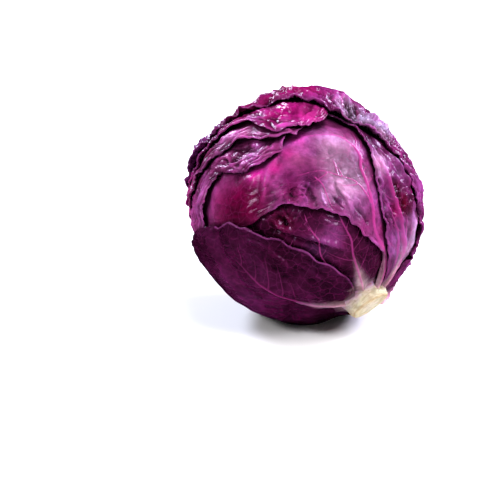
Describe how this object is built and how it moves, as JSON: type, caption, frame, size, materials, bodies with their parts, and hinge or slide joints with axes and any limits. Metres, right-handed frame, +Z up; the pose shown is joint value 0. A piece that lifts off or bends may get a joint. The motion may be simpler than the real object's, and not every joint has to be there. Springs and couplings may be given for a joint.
{
  "type": "red cabbage head",
  "caption": "Whole head of red cabbage lying on its side, with lapped, ruffled wrapper leaves over a dense heart and a cut white stump.",
  "frame": {"origin": "on the resting surface, at the middle of the small flat spot that the head rests on", "axes": "+Z up; -Y is the side that faces the viewer; the cut stump points down and to the front right, between -Y and +X"},
  "size_m": [0.1742, 0.1698, 0.1778],
  "materials": {
    "core": "cut white stem flesh, matt and slightly fibrous",
    "heart_leaf": "firm inner leaf, satin",
    "wrapper_leaf": "waxy purple leaf with a pale bloom and pink veins, satin to glossy"
  },
  "bodies": {
    "root": {"stem": "core", "heart": "heart_leaf", "under_leaf": "wrapper_leaf", "main_leaf": "wrapper_leaf", "right_leaf": "wrapper_leaf", "low_shoulder_leaf": "wrapper_leaf", "mid_shoulder_leaf": "wrapper_leaf", "top_shoulder_leaf": "wrapper_leaf", "crown_leaf": "wrapper_leaf", "low_leaf": "wrapper_leaf"}
  },
  "joints": []
}
